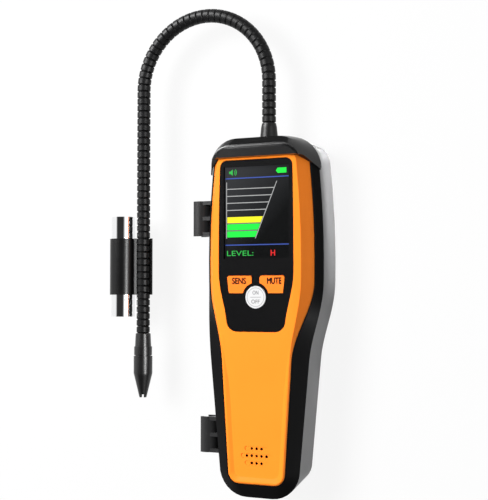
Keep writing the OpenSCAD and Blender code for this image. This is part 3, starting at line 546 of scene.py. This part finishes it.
for i, ball in enumerate(BALL_RIBS):
    piece = ribbed_stretch(f"neck_skin_{i + 1}", CUTS[i], CUTS[i + 1])
    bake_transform(piece)
    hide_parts(*(["neck_base", "neck_1"] if i == 0 else [f"neck_{i + 1}"]))
leg = ribbed_stretch("neck_skin_leg", ARCH_RIBS, ARCH_RIBS + LEG_RIBS)
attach(leg, "probe")
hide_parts("neck_6")
print("stretches of neck", len(BALL_RIBS) + 1)

# %% [markdown]
# The key legends are raised ink. Text objects are turned into meshes, squeezed to the
# width of the printed word, and laid a hair above the key they ride on.

# %% Legends on the keys
INK = 0.03 * MM
STRIKE_LIFT = 0.05 * INK


def ink_piece(name, mesh, body, mat):
    piece = add_piece(name, mesh, mat)
    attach(piece, body)
    return piece


def strike_again(mesh, bold):
    """Adds a copy of the word to each side of it, every one a hair higher."""
    bm = bmesh.new()
    for i, (dx, dy) in enumerate(((0, 0), (-bold, 0), (bold, 0), (0, bold), (0, -bold))):
        first_new = len(bm.verts)
        bm.from_mesh(mesh)
        bm.verts.ensure_lookup_table()
        bmesh.ops.translate(bm, vec=(dx, dy, i * STRIKE_LIFT), verts=bm.verts[first_new:])
    bm.to_mesh(mesh)
    bm.free()


def word(name, text, x, y, z, wide, tall, body, mat, slot_name, bold=0.0):
    """A printed word of a given size. A bold one is struck several times."""
    data = bpy.data.curves.new(name, "FONT")
    data.body = text
    data.align_x = "CENTER"
    data.align_y = "CENTER"
    data.extrude = 0.5
    made = bpy.data.objects.new(name + "_text", data)
    scene.collection.objects.link(made)
    graph = bpy.context.evaluated_depsgraph_get()
    mesh = bpy.data.meshes.new_from_object(made.evaluated_get(graph), depsgraph=graph)
    bpy.data.objects.remove(made)
    xs = [v.co.x for v in mesh.vertices]
    ys = [v.co.y for v in mesh.vertices]
    middle = Vector(((min(xs) + max(xs)) / 2, (min(ys) + max(ys)) / 2, 0))
    size = Vector((wide / (max(xs) - min(xs)), tall / (max(ys) - min(ys)), INK))
    for v in mesh.vertices:
        p = v.co - middle
        v.co = Vector((x + p.x * size.x, y + p.y * size.y, z + (p.z + 0.5) * size.z))
    if bold:
        strike_again(mesh, bold)
    return ink_piece(name, mesh, body, mat)


def mesh_of(name, bm):
    """Turns a finished bmesh into a mesh with its faces outward."""
    bmesh.ops.recalc_face_normals(bm, faces=bm.faces)
    mesh = bpy.data.meshes.new(name)
    bm.to_mesh(mesh)
    bm.free()
    return mesh


def plate(name, corners, z, body, mat):
    """A flat inked shape with the given corners."""
    bm = bmesh.new()
    low = [bm.verts.new((x, y, z)) for x, y in corners]
    high = [bm.verts.new((x, y, z + INK)) for x, y in corners]
    bm.faces.new(high)
    bm.faces.new(list(reversed(low)))
    n = len(corners)
    for i in range(n):
        j = (i + 1) % n
        bm.faces.new((low[i], low[j], high[j], high[i]))
    return ink_piece(name, mesh_of(name, bm), body, mat)


def oblong(x0, y0, x1, y1):
    return [(x0, y0), (x1, y0), (x1, y1), (x0, y1)]


def ring_band(name, x, y, z, r0, r1, body, mat, slot_name, steps=64):
    """A flat inked ring."""
    bm = bmesh.new()
    turns = [2 * math.pi * i / steps for i in range(steps)]
    loops = [
        [bm.verts.new((x + r * math.cos(a), y + r * math.sin(a), z + h)) for a in turns]
        for r, h in ((r0, 0), (r0, INK), (r1, INK), (r1, 0))
    ]
    for a, b in zip(loops, loops[1:] + loops[:1]):
        for i in range(steps):
            j = (i + 1) % steps
            bm.faces.new((a[i], a[j], b[j], b[i]))
    return ink_piece(name, mesh_of(name, bm), body, mat)


sens_low, sens_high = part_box("sens_key")
mute_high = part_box("mute_key")[1]
power_low, power_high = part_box("power_key")
power_middle = (power_low + power_high) / 2
LEGEND_SIZE = (9.1 * MM, 3.6 * MM)
LEGEND_BOLD = 0.19 * MM
SMALL_TALL = 2.3 * MM
SMALL_BOLD = 0.05 * MM
POWER_LINE = (3.5 * MM, 0.14 * MM)
POWER_RING = (5.3 * MM, 5.7 * MM)
legend_y = sens_high.y - 3.9 * MM
word("sens_legend", "SENS", sens_low.x + 7.9 * MM, legend_y, sens_high.z, *LEGEND_SIZE,
     "sens_key", BLACK_PRINT, "black_plastic", LEGEND_BOLD)
word("mute_legend", "MUTE", mute_high.x - 6.6 * MM, legend_y, mute_high.z, *LEGEND_SIZE,
     "mute_key", BLACK_PRINT, "black_plastic", LEGEND_BOLD)
word("on_legend", "ON", 0, power_middle.y + 2.7 * MM, power_high.z, 3.8 * MM, SMALL_TALL,
     "power_key", GREY_PRINT, "key_white", SMALL_BOLD)
word("off_legend", "OFF", 0, power_middle.y - 2.6 * MM, power_high.z, 5.4 * MM, SMALL_TALL,
     "power_key", GREY_PRINT, "key_white", SMALL_BOLD)
plate("power_line", oblong(-POWER_LINE[0], power_middle.y - POWER_LINE[1],
                           POWER_LINE[0], power_middle.y + POWER_LINE[1]),
      power_high.z, "power_key", GREY_PRINT)
ring_band("power_ring", 0, power_middle.y, power_high.z, *POWER_RING,
          "power_key", PALE_PRINT, "key_white")
print("legends on three keys")

# %% [markdown]
# The display is lit from behind, so its lines glow a little and don't depend on the lamps.
# They lie on the display unit, under the window. The scale leans: its right border slants,
# and each level ends on it, so one function gives the border at any height.

# %% Lit display
lcd_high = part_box("lcd_module")[1]
lens_low, lens_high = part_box("display_lens")
SCREEN_Z = lcd_high.z + 0.05 * MM
LINE = 0.23 * MM
WHITE_GLOW = glow("white_line", (1.0, 1.0, 1.0), 0.36)
GREY_GLOW = glow("grey_line", (0.9, 0.95, 0.9), 0.14)
BLUE_GLOW = glow("blue_line", (0.11, 0.22, 1.0), 0.32)
GREEN_GLOW = glow("green_level", (0.01, 1.0, 0.06), 1.0)
GREEN_WORD = glow("green_word", (0.06, 1.0, 0.14), 0.42)
YELLOW_GLOW = glow("yellow_level", (1.0, 0.9, 0.012), 1.0)
RED_GLOW = glow("red_letter", (1.0, 0.02, 0.02), 0.75)
WINDOW_Y = (lens_low.y + lens_high.y) / 2
SCALE_TOP = (13.0 * MM, WINDOW_Y + 18.2 * MM)
SCALE_LOW = (-1.1 * MM, WINDOW_Y - 15.6 * MM)
SCALE_LEFT = -20.3 * MM


def slant(y):
    t = (y - SCALE_LOW[1]) / (SCALE_TOP[1] - SCALE_LOW[1])
    return SCALE_LOW[0] + t * (SCALE_TOP[0] - SCALE_LOW[0])


def lit(name, corners, mat):
    return plate(name, corners, SCREEN_Z, "case", mat)


RULES = (20.8, -19.4)
STEPS = (14.4, 10.1, 5.9, 1.6)
GAPS = (-6.5, -10.78)
LEVELS = (("level_yellow", -6.1, -2.55, YELLOW_GLOW), ("level_green_2", -10.35, -6.9, GREEN_GLOW),
          ("level_green_1", -14.7, -11.2, GREEN_GLOW))
RULE_HALF = 0.3 * MM
RULE_INSET = 0.2 * MM
LEVEL_INSET = 0.5 * MM
for i, up in enumerate(RULES):
    y = WINDOW_Y + up * MM
    lit(f"blue_rule_{i + 1}", oblong(lens_low.x + RULE_INSET, y - RULE_HALF,
                                     lens_high.x - RULE_INSET, y + RULE_HALF), BLUE_GLOW)
lit("scale_left", oblong(SCALE_LEFT - LINE, WINDOW_Y - 15.4 * MM,
                         SCALE_LEFT + LINE, WINDOW_Y + 18.6 * MM), WHITE_GLOW)
lit("scale_right", [(SCALE_LOW[0] - LINE, SCALE_LOW[1]), (SCALE_LOW[0] + LINE, SCALE_LOW[1]),
                    (SCALE_TOP[0] + LINE, SCALE_TOP[1]), (SCALE_TOP[0] - LINE, SCALE_TOP[1])],
    WHITE_GLOW)
for kind, ups, mat in (("scale_step", STEPS, WHITE_GLOW), ("level_gap", GAPS, GREY_GLOW)):
    for i, up in enumerate(ups):
        y = WINDOW_Y + up * MM
        lit(f"{kind}_{i + 1}", oblong(SCALE_LEFT, y - LINE, slant(y), y + LINE), mat)
for name, up0, up1, mat in LEVELS:
    left = SCALE_LEFT + LEVEL_INSET
    y0, y1 = WINDOW_Y + up0 * MM, WINDOW_Y + up1 * MM
    right0, right1 = slant(y0) - LEVEL_INSET, slant(y1) - LEVEL_INSET
    lit(name, [(left, y0), (right0, y0), (right1, y1), (left, y1)], mat)
label_y = WINDOW_Y - 24.4 * MM
word("level_word", "LEVEL:", -11.2 * MM, label_y, SCREEN_Z, 17.6 * MM, 3.1 * MM,
     "case", GREEN_WORD, "lcd")
word("level_letter", "H", 10.4 * MM, label_y, SCREEN_Z, 2.7 * MM, 3.3 * MM,
     "case", RED_GLOW, "lcd", 0.1 * MM)
print("display lines", len(RULES) + 2 + len(STEPS) + len(GAPS) + len(LEVELS) + 2)

# %% Symbols at the top of the display
SYMBOL_Y = WINDOW_Y + 24.4 * MM
SOUND_X = -18.6 * MM
WAVE_X = SOUND_X + 2.3 * MM
WAVE_RADII = (1.6 * MM, 2.6 * MM)
WAVE_HALF = 0.2 * MM
HORN = ((0, -0.7), (1.0, -0.7), (2.4, -1.9), (2.4, 1.9), (1.0, 0.7), (0, 0.7))
BATTERY = ((12.4, 0), (13.6, -1.55), (19.2, -1.55), (19.2, 1.55), (13.6, 1.55))


def wave_edge(r):
    angles = [math.radians(a) for a in range(-45, 46, 15)]
    return [(WAVE_X + r * math.cos(a), SYMBOL_Y + r * math.sin(a)) for a in angles]


lit("sound_horn", [(SOUND_X + x * MM, SYMBOL_Y + y * MM) for x, y in HORN], GREEN_WORD)
for i, r in enumerate(WAVE_RADII):
    edge = wave_edge(r + WAVE_HALF) + wave_edge(r - WAVE_HALF)[::-1]
    lit(f"sound_wave_{i + 1}", edge, GREEN_WORD)
lit("battery_mark", [(x * MM, SYMBOL_Y + y * MM) for x, y in BATTERY], GREEN_GLOW)
print("symbols", 2, "and waves", len(WAVE_RADII))

# %% [markdown]
# The studio is a pale floor under soft light. The floor shows near white to the camera and
# to mirrors, and keeps a soft shadow. A broad lamp stands front left, a small one with a
# narrow beam grazes the grey side of the head from above, and the sky fills in. Two more
# lamps only gleam: they show in glossy surfaces and give matt ones nothing.

# %% Floor
FLOOR_SIZE = 6.0
FLOOR_GREY = 0.6
FLOOR_WHITE_SHARE = 0.9


def floor_material():
    mat = bpy.data.materials.new("floor_white")
    mat.use_nodes = True
    tree = mat.node_tree
    tree.nodes.remove(tree.nodes["Principled BSDF"])
    out = tree.nodes["Material Output"]
    matte = tree.nodes.new("ShaderNodeBsdfDiffuse")
    matte.inputs["Color"].default_value = (FLOOR_GREY, FLOOR_GREY, FLOOR_GREY, 1)
    lit_white = tree.nodes.new("ShaderNodeEmission")
    lit_white.inputs["Strength"].default_value = 1.0
    ray = tree.nodes.new("ShaderNodeLightPath")
    seen = tree.nodes.new("ShaderNodeMath")
    seen.operation = "MAXIMUM"
    tree.links.new(ray.outputs["Is Camera Ray"], seen.inputs[0])
    tree.links.new(ray.outputs["Is Glossy Ray"], seen.inputs[1])
    share = tree.nodes.new("ShaderNodeMath")
    share.operation = "MULTIPLY"
    share.inputs[1].default_value = FLOOR_WHITE_SHARE
    tree.links.new(seen.outputs[0], share.inputs[0])
    mix = tree.nodes.new("ShaderNodeMixShader")
    tree.links.new(share.outputs[0], mix.inputs["Fac"])
    tree.links.new(matte.outputs[0], mix.inputs[1])
    tree.links.new(lit_white.outputs[0], mix.inputs[2])
    tree.links.new(mix.outputs[0], out.inputs["Surface"])
    return mat


def add_floor():
    half = FLOOR_SIZE / 2
    mesh = bpy.data.meshes.new("floor")
    corners = [(x, y, 0) for x, y in oblong(-half, -half, half, half)]
    mesh.from_pydata(corners, [], [(0, 1, 2, 3)])
    floor = add_piece("floor", mesh, floor_material())
    return floor


print("floor", add_floor().name)

# %% Lamps
CASE_MIDDLE = (0, 0.03, 0.02)
BEAM_SPREAD = math.radians(3)
GLEAMS = (("gleam_high", (-0.75, 0.75, 0.85), (0.6, 0.6), 48),
          ("gleam_right", (0.7, 0.0, 0.5), (0.3, 0.2), 9))


def lamp(name, place, aim, size, power):
    """A flat lamp of a width and a height in metres, with its power in watts."""
    data = bpy.data.lights.new(name, "AREA")
    data.shape = "RECTANGLE"
    data.size, data.size_y = size
    data.energy = power
    made = bpy.data.objects.new(name, data)
    made.location = place
    made.rotation_euler = (Vector(aim) - Vector(place)).to_track_quat("-Z", "Y").to_euler()
    scene.collection.objects.link(made)
    return made


key = lamp("key_lamp", (-0.43, 0.3, 1.08), CASE_MIDDLE, (0.6, 0.6), 25.5)
key.visible_glossy = False
strip = lamp("side_strip", (0.106, 0.42, 0.013), (0.036, 0.08, 0.013), (0.026, 0.024), 0.012)
strip.data.spread = BEAM_SPREAD
for name, place, size, power in GLEAMS:
    lamp(name, place, CASE_MIDDLE, size, power).visible_diffuse = False
print("lamps", len(bpy.data.lights))

# %% Sky
LIGHT_BY_HEIGHT = (0.35, 0.8, 0.22, 0.1)
MIRRORED_BY_SIDE = (0.5, 0.7, 0.03, 1.0)


def studio_sky():
    """A soft sky, white to the camera, that shows mirrors a white wall at each side."""
    world = bpy.data.worlds.new("sky")
    scene.world = world
    world.use_nodes = True
    tree = world.node_tree
    sky = tree.nodes["Background"]
    sky.inputs["Color"].default_value = (1, 1, 1, 1)
    place = tree.nodes.new("ShaderNodeTexCoord")
    parts = tree.nodes.new("ShaderNodeSeparateXYZ")
    tree.links.new(place.outputs["Generated"], parts.inputs["Vector"])

    def ramp(way, from0, from1, to0, to1):
        level = tree.nodes.new("ShaderNodeMapRange")
        level.inputs["From Min"].default_value = from0
        level.inputs["From Max"].default_value = from1
        level.inputs["To Min"].default_value = to0
        level.inputs["To Max"].default_value = to1
        tree.links.new(way, level.inputs["Value"])
        return level.outputs["Result"]

    sideways = tree.nodes.new("ShaderNodeMath")
    sideways.operation = "ABSOLUTE"
    tree.links.new(parts.outputs["X"], sideways.inputs[0])
    ray = tree.nodes.new("ShaderNodeLightPath")
    pick = tree.nodes.new("ShaderNodeMix")
    tree.links.new(ray.outputs["Is Glossy Ray"], pick.inputs["Factor"])
    tree.links.new(ramp(parts.outputs["Z"], *LIGHT_BY_HEIGHT), pick.inputs["A"])
    tree.links.new(ramp(sideways.outputs[0], *MIRRORED_BY_SIDE), pick.inputs["B"])
    seen = tree.nodes.new("ShaderNodeMix")
    seen.inputs["B"].default_value = 1.0
    tree.links.new(ray.outputs["Is Camera Ray"], seen.inputs["Factor"])
    tree.links.new(pick.outputs["Result"], seen.inputs["A"])
    tree.links.new(seen.outputs["Result"], sky.inputs["Strength"])
    return world


print("sky", studio_sky().name)
